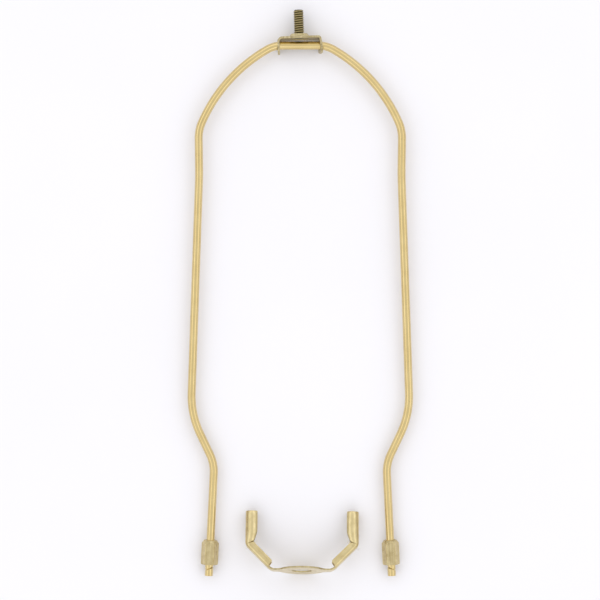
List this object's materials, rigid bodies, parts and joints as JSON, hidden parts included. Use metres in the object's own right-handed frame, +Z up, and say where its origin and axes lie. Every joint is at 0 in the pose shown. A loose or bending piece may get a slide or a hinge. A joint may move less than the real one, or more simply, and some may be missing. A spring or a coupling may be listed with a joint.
{
  "type": "lamp harp",
  "caption": "Detachable lamp harp: a bent wire bow with sliding locking sleeves and a tilting swivel bracket with a threaded stud, its folded saddle laid apart between the feet.",
  "frame": {"origin": "middle of the footprint, on the surface that the harp lies on", "axes": "+Y from the feet to the finial stud, +X across the bow to the right as seen from above, +Z up off the surface that the bow lies flat on"},
  "size_m": [0.1206, 0.3026, 0.0234],
  "materials": {
    "wire_plate": "bright brass plated steel wire, drawn",
    "sleeve_plate": "dull brass plated steel, turned from hexagonal bar",
    "bracket_plate": "dull brass plated steel sheet, pressed",
    "stud_plate": "darkened brass plate on a rolled thread",
    "saddle_plate": "pale brass plated steel sheet, pressed"
  },
  "bodies": {
    "harp_frame": {"harp_wire": "wire_plate", "saddle": "saddle_plate"},
    "left_lock": {"left_sleeve": "sleeve_plate"},
    "right_lock": {"right_sleeve": "sleeve_plate"},
    "swivel": {"swivel_bracket": "bracket_plate"},
    "stud": {"finial_stud": "stud_plate"}
  },
  "joints": [
    {"name": "left_sleeve_slide", "type": "slide", "parent": "harp_frame", "child": "left_lock", "axis": [0.0489, 0.9988, 0.0081], "range_m": [0, 0.034]},
    {"name": "right_sleeve_slide", "type": "slide", "parent": "harp_frame", "child": "right_lock", "axis": [-0.0489, 0.9988, 0.0081], "range_m": [0, 0.034]},
    {"name": "bracket_tilt", "type": "hinge", "parent": "harp_frame", "child": "swivel", "pos_m": [0, 0.13231, 0.00635], "axis": [1, 0, 0], "continuous": true},
    {"name": "stud_spin", "type": "hinge", "parent": "swivel", "child": "stud", "pos_m": [-0.00051, 0.13571, 0.00638], "axis": [-0.0314, 0.9995, 0.0081], "continuous": true}
  ]
}
